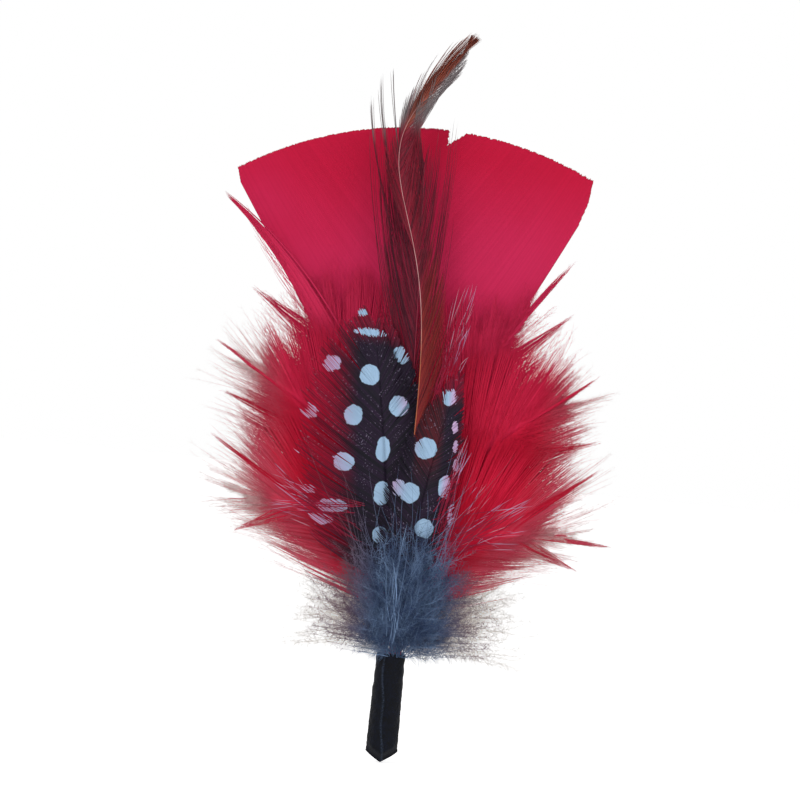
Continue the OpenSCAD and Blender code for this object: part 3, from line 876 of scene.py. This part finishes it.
def guinea_finish(name, dots, top_z):
    """Dark barbs with pale dots, each an oval given by its place and its half width and half
    height in mm, a little uneven, with small flecks between them. The barbs are dyed red at
    the outer sides and at the top, and rusty beside the foot of the brown hackle."""
    finish = Finish(name, 0.2)
    in_mm = finish.vector("MULTIPLY", finish.place(), [1 / MM] * 3)
    drift = finish.add("ShaderNodeTexNoise", inputs={0: in_mm, 2: 0.9, 3: 2.0}, output=1)
    sway = finish.vector("MULTIPLY_ADD", drift, (0.6, 0, 0.6), (-0.3, 0, -0.3))
    in_mm = finish.vector("ADD", in_mm, sway)
    near = None
    for x, z, half_w, half_h in dots:
        off = finish.vector("MULTIPLY_ADD", in_mm, (1 / half_w, 0, 1 / half_h),
                            (-x / half_w, 0, -z / half_h))
        far = finish.vector("LENGTH", off, output=1)
        near = near.maths("MINIMUM", near, far) if near else far
    barb, out = finish.mark("barb"), finish.mark("out")
    side, height = finish.side_and_height()
    lilac = out.maths("MAXIMUM", out.step(0.4, 1.0), side.step(5.6, 7.0))
    torn = 0.04 + 0.25 * lilac + 0.5 * height.step(top_z - 6, top_z - 5)
    dot = (near + torn * barb).step(1.05, 0.97)
    flecks = finish.add("ShaderNodeTexNoise", inputs={0: in_mm, 2: 3.0, 3: 1.0})
    fleck = flecks.step(0.62, 0.67) * near.step(1.5, 2.1) * barb.step(0.4, 0.7)
    rusty = side.step(0.2, 1.6) * side.step(6.2, 4.2) * height.step(47, 56)
    outside = side.step(-6, -9) + side.step(3, 5)
    dyed = out.maths("MAXIMUM", out.step(0.4, 1.05) * outside, height.step(top_z - 7, top_z - 1))
    tone = finish.mix((14, 12, 24), (barb, (40, 24, 48)),
                      (rusty * 0.7, finish.mix((46, 16, 26), (barb, (108, 32, 36)))),
                      (dyed * 0.9, finish.mix((84, 12, 42), (barb, (178, 18, 56)))),
                      (fleck * 0.4, (170, 160, 186)),
                      (dot, finish.mix((172, 204, 234), (lilac, (216, 186, 226)))))
    return finish.link(Base_Color=tone, Roughness=0.42 + 0.2 * barb)


# The pale patches on the dark guinea quills are painted glints.
quill = Finish("guinea_quill_painted_glints", 0.4)
streak = quill.noise(1.2, 3)
quill.link(Base_Color=quill.mix((24, 16, 30), (streak.step(0.5, 0.62), (120, 96, 120))),
           Roughness=0.3 + 0.2 * streak)
guinea_barbs = 170
u = np.linspace(0, 1, 20)
# name, seed, lowest barb, height of the top, lengths of the left and right barbs, dots
for name, seed, foot_z, top_z, lengths, dots in (
    ("back", 51, 34, 78, (9.5, 9), (
        (-3.2, 71.2, 1.7, 1.7), (0.4, 71.0, 0.9, 1.5), (-2.8, 61.9, 1.8, 1.9),
        (0.2, 54.8, 1.0, 1.6), (-6.2, 46.0, 1.6, 1.9))),
    ("left", 52, 30, 79, (21, 10.5), (
        (-9.9, 74.6, 4.1, 0.8), (-11.2, 78.0, 1.3, 0.7), (-15.6, 68.4, 1.8, 1.6),
        (-8.6, 67.0, 1.8, 1.9), (-19.0, 59.6, 1.9, 1.5), (-10.9, 59.5, 1.75, 1.9),
        (-11.9, 51.0, 2.1, 1.8), (-2.9, 61.9, 1.75, 1.95), (-5.0, 53.9, 1.25, 2.3),
        (-4.5, 46.0, 1.45, 2.2), (-4.0, 38.6, 1.5, 1.5), (-13.2, 43.0, 3.0, 1.3),
        (-18.8, 45.6, 3.0, 0.9), (-15.6, 40.4, 3.0, 1.1), (-22.0, 52.0, 2.4, 0.8))),
    ("right", 53, 30, 69, (9.5, 8), (
        (2.6, 54.8, 2.05, 1.95), (0.5, 46.6, 1.8, 1.85), (-1.6, 47.4, 1.3, 1.6),
        (3.7, 40.5, 1.7, 1.7), (6.2, 64.4, 1.7, 1.6), (2.9, 65.8, 0.8, 1.6),
        (6.7, 48.2, 1.2, 2.2), (7.5, 59.0, 0.6, 1.2), (7.9, 55.6, 0.5, 1.3),
        (8.3, 52.3, 0.6, 1.1), (8.3, 43.4, 0.8, 2.2))),
):
    rng = default_rng(seed)
    shaft = Shaft(f"guinea_{name}_shaft")
    strands = Strands()
    for side, length in zip((-1, 1), lengths):
        w = np.linspace(0, 1, guinea_barbs)[:, None]
        share = shaft.share_at(foot_z) * (1 - w) + w
        root = shaft.at(share[:, 0])
        root[:, 1] -= 0.15
        # Off the shaft by 66 degrees at the lowest barb and 16 at the highest, and bent up
        lean = 66 - 50 * w ** 1.6 - 12 * u * (1 - w)
        size = length * (0.8 + 0.2 * np.sin(np.pi * w)) * (1 - 0.72 * w ** 3)
        even = sprung(root, shaft.heading(share) + side * lean, size)
        lean = lean + rng.normal(0, 0.8, w.shape) * u ** 2
        size = size * rng.uniform(0.86, 1.05, w.shape)
        path = sprung(root, shaft.heading(share) + side * lean, size)
        path = cling(path, 26, 0.3, rng)
        path[..., 1] += rng.normal(0, 0.08, w.shape) * u - 0.15 * np.sin(np.pi * u)
        full_length = 14 if length > 12 else 8.5
        out = u * size / full_length
        thin = np.clip(1.3 - 0.9 * out, 0.36, 1)
        width = (0.62 * gaps(even) + 0.02).clip(0.05, 0.3) * thin
        strands.lay(path, width, 0.035, unit(np.array([-side * 0.1, -1, 0])),
                    barb=rng.uniform(0, 1, w.shape), out=out)
    dress(strands.piece(f"guinea_{name}_strands"), guinea_finish(f"guinea_{name}", dots, top_z),
          "guinea", f"guinea_{name}_vane")
    dress_shaft(f"guinea_{name}", shaft, 0.5, quill, "quill")


# ---- Brown hackle ----
# The long hackle, with a pale glossy shaft in a slow S-bend. Its barbs are copper brown low
# down, dark red higher up and grey at the free end, and stand apart enough to see through.

brown = Shaft("brown_hackle_shaft")
tucked = smooth((62 - brown.line[:, 2]) / 10) * smooth((brown.line[:, 2] - 26) / 10)
brown.line[:, 1] += 1.3 * tucked
strands = Strands()
left_edge = ((106, 112, 115, 119.5, 122, 126, 127.5, 129),
             (1.5, 2.1, 3.0, 3.7, 4.3, 5.0, 3.0, 0.5))
right_edge = ((60, 78, 90, 96, 112.6, 115, 119, 122, 125, 129),
              (7.5, 7, 4.8, 4, 4.2, 3.9, 3.3, 2.6, 1.3, 0.4))
right_lean = ((86, 98, 106, 112, 120, 129), (28, 26, 34, 27, 14, 6))
# side, how many, lowest and highest root, length, lean, bend, edge, height below which a
# barb's root gives it a grey end, seed
for side, count, rows, length, lean, bend, edge, grey_below, seed in (
    (-1, 60, (90, 106), lambda w: 17 - 12 * w, lambda w: 13, 9, ((90, 106), (6, 3)), 116, 61),
    (-1, 230, (107, 129), lambda w: np.minimum(17, 26 * (1 - w) + 0.9), lambda w: 10 - 2 * w, 22,
     left_edge, 114, 64),
    (1, 150, (44, 86), lambda w: 17 - 3 * w, lambda w: 15 + 5 * w, 6, right_edge, 116, 62),
    (1, 230, (86, 129), lambda w: np.minimum(19, 44 * (1 - w) + 0.9),
     lambda w: np.interp(86 + 43 * w, *right_lean), 17, right_edge, 126, 63),
    (1, 36, (82, 104), lambda w: 20 - 4 * w, lambda w: 20, 4, ((80, 110), (9, 9)), 116, 65),
):
    rng = default_rng(seed)
    path = hackle_barbs(brown, side, count, rows, length, lean, bend, edge,
                        max(6, count // 9), 0.3, rng)
    root_z, z = path[:, :1, 2], path[..., 2]
    worn = smooth((z - 110) / 5) * smooth((grey_below - root_z) / 5) * smooth(2 * hackle_u)
    tier = 0.5 * smooth((root_z - 76) / 10) + 0.49 * smooth((root_z - 109) / 5)
    strands.lay(path, 0.07 * (1 - 0.7 * hackle_u), 0.03, worn=worn, tier=tier,
                tone=rng.uniform(0, 1, (count, 1)))
finish = Finish("brown_hackle", 0.3)
tier, barb = finish.mark("tier"), finish.mark("tone")
low = finish.mix((104, 12, 28), (barb, (150, 44, 38)))
middle = finish.mix((84, 10, 32), (barb, (150, 18, 48)))
high = finish.mix((60, 18, 18), (barb, (170, 80, 56)))
finish.coat(0.35, 0.25, 1.2, low, (tier.step(0.0, 0.5), middle), (tier.step(0.5, 1.0), high),
            (finish.mark("worn"), (142, 132, 134)))
dress(strands.piece("brown_hackle_strands"), finish, "copper", "brown_hackle_barbs")
quill = Finish("pale_quill", 0.4, Coat_Weight=0.15)
streak = quill.noise(0.35, 3)
height = quill.side_and_height()[1]
tone = quill.mix((204, 150, 150), (height.step(82, 68), (186, 96, 56)),
                 (height.step(112, 119), (70, 26, 22)),
                 (streak.step(0.4, 0.7) * 0.35, (120, 60, 50)))
quill.link(Base_Color=tone, Roughness=0.25 + 0.25 * streak)
dress_shaft("brown_hackle", brown, 0.36, quill, "quill")


# ---- Loose barbs ----
# Single barbs of the guinea feathers and the hackles that have come out of their vanes. They
# lie over the red plumes at both sides, each with a pale end.

loose = Strands()
rng = default_rng(81)
u = np.linspace(0, 1, 14)
for count, foot_low, foot_high, tip_low, tip_high in (
    (26, (-11, -3.0, 36), (-7, -3.0, 44), (-25, -2.8, 40), (-18, -2.8, 50)),
    (34, (5, -3.6, 33), (8, -3.6, 43), (11, -3.0, 38), (23, -3.0, 50)),
    (12, (5, -3.8, 38), (8, -3.8, 46), (8, -3.8, 52), (11, -3.8, 60)),
    (26, (2, -3.2, 58), (5, -3.2, 66), (4.5, -2.6, 70), (9.5, -2.6, 86)),
):
    foot = rng.uniform(foot_low, foot_high, (count, 3))
    tip = rng.uniform(tip_low, tip_high, (count, 3))
    path = bowed(foot, tip, 1.0, len(u), rng)
    start = rng.uniform(0.6, 0.85, (count, 1))
    width = rng.uniform(0.03, 0.075, (count, 1)) * (1 - 0.6 * u ** 4)
    loose.lay(path, width, 0.03, tier=0, worn=smooth((u - start) / 0.1),
              tone=rng.uniform(0, 1, (count, 1)))
finish = Finish("loose_barbs", 0.2)
tips = finish.mix((228, 176, 196), (finish.mark("tone"), (190, 176, 226)))
finish.coat(0.5, 0.2, 1, (120, 14, 46), (finish.noise(0.6), (186, 40, 74)),
            (finish.mark("worn") * 0.85, tips))
dress(loose.piece("loose_barbs"), finish, "guinea")


# ---- Down ----
# The soft down at the feet of the feathers, grey-blue in front and beige at the back. Each
# barb of it springs from a quill, bends out and carries fine barbules all round.

def down_tuft(centre, spread, count, rise, length, leans, sideways, depths, curl, rng):
    """Barbs from roots scattered about the centre: each leans outwards the more, the farther
    from the middle its root is, and curls by a random walk. The share called sideways leans
    well out to the left or the right."""
    across = rng.uniform(-1, 1, (count, 1))
    well_out = rng.uniform(0, 1, (count, 1)) < sideways
    across = np.where(well_out, np.sign(across) * (0.6 + 0.4 * np.abs(across)), across)
    up = rng.uniform(0, 1, (count, 1)) ** 1.2
    beside = np.where(well_out, rng.uniform(-1, 1, (count, 1)), across)
    root = np.concatenate([centre[0] + spread * beside * (0.4 + 0.6 * up),
                           centre[1] * (0.6 + 0.4 * up) + rng.uniform(-0.5, 0.5, (count, 1)),
                           centre[2] + rise * up], axis=1)
    u = np.linspace(0, 1, 10)
    low, high = leans
    lean = across * (high - (high - low) * up) + rng.normal(0, 18, (count, 1))
    lean = lean.clip(-high, high) + rng.normal(0, curl, (count, len(u))).cumsum(axis=1)
    lean = lean.clip(-high - 14, high + 14)
    path = sprung(root, lean, length * rng.uniform(0.35, 1.2, (count, 1)) * (1 - 0.3 * up))
    deep = rng.uniform(*depths, (count, 1))
    swell = smooth((path[..., 2] - centre[2] + 1) / 9) * np.clip(u * 1.6, 0, 1)
    path[..., 1] += (deep - root[:, 1:2]) * swell
    path[..., 1] += rng.normal(0, 0.12, path.shape[:2]).cumsum(axis=1)
    return path


grey_low, grey_high = (np.array(corner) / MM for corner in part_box("grey_down"))
grey_x = (grey_low[0] + grey_high[0]) / 2
# name, seed, the tuft's own values, how many barbules a barb has, their length and half
# width, and the deep colour, the pale one and the one far out
for name, seed, tuft, (each, size, half), colours in (
    ("grey_down", 71,
     ((grey_x - 1.2, -4.4, mouth_z - 0.6), 5.4, 560, 13, 15.5, (40, 72), 0.0, (-9.2, -3.4), 19),
     (62, 3.4, 0.02), ((30, 46, 90), (170, 204, 248), (134, 102, 116))),
    ("beige_down", 72,
     ((grey_x, 6.2, mouth_z + 1.4), 3.8, 760, 8, 22, (58, 88), 0.7, (4.2, 9.6), 8),
     (46, 5.2, 0.014), ((232, 220, 208), (250, 242, 234), (186, 172, 168))),
):
    rng = default_rng(seed)
    path = down_tuft(*tuft, rng)
    u = np.linspace(0, 1, path.shape[1])
    needle = barbules(path, each, size, 55, rng, 0.05, 0.8)
    down = Strands()
    light = rng.uniform(0, 1, (len(path), 1)) ** 1.6
    sets = [(path, 2.2 * half * (1 - 0.6 * u), 0.3 + 0.7 * light),
            (needle, half, 0.8 * light.repeat(each, axis=0))]
    if name == "grey_down":
        foot = rng.uniform((-7, -7.4, 20), (8, -5.6, 38), (60, 3))
        top = foot + rng.uniform(8, 22, (60, 1)) * np.stack(
            [0.04 * foot[:, 0] + rng.normal(0, 0.25, 60), np.zeros(60), np.ones(60)], axis=1)
        sets.append((bowed(foot, top, 1.4, len(u), rng), 0.034 * (1 - 0.6 * u), 0.6))
        foot = rng.uniform((-1.8, -9, 19), (1.2, -7.6, 28), (16, 3))
        top = foot + rng.uniform((-2, 0, 7), (1.5, 0, 15), (16, 3))
        sets.append((bowed(foot, top, 0.6, len(u), rng), 0.06 * (1 - 0.7 * u), 1.0))
    for strand, width, light in sets:
        away = np.abs(strand[..., 0] - grey_x)
        worn = smooth((away - 5) / 8) if name == "grey_down" else smooth((9 - away) / 6)
        patch = 0.5 + 0.5 * clouds(strand, 0.16, default_rng(5))
        tone = patch * light * rng.uniform(0.5, 1, (len(strand), 1)) + 0.08
        down.lay(strand, width, 0.8 * width, tone=tone.clip(0, 1), worn=worn, tier=0)
    finish = Finish(name, 0.15)
    deep, pale, far = colours
    finish.coat(0.55, 0.25, 0.8, deep, (finish.mark("tone"), pale), (finish.mark("worn"), far))
    dress(down.piece(f"{name}_strands"), finish, name, name)
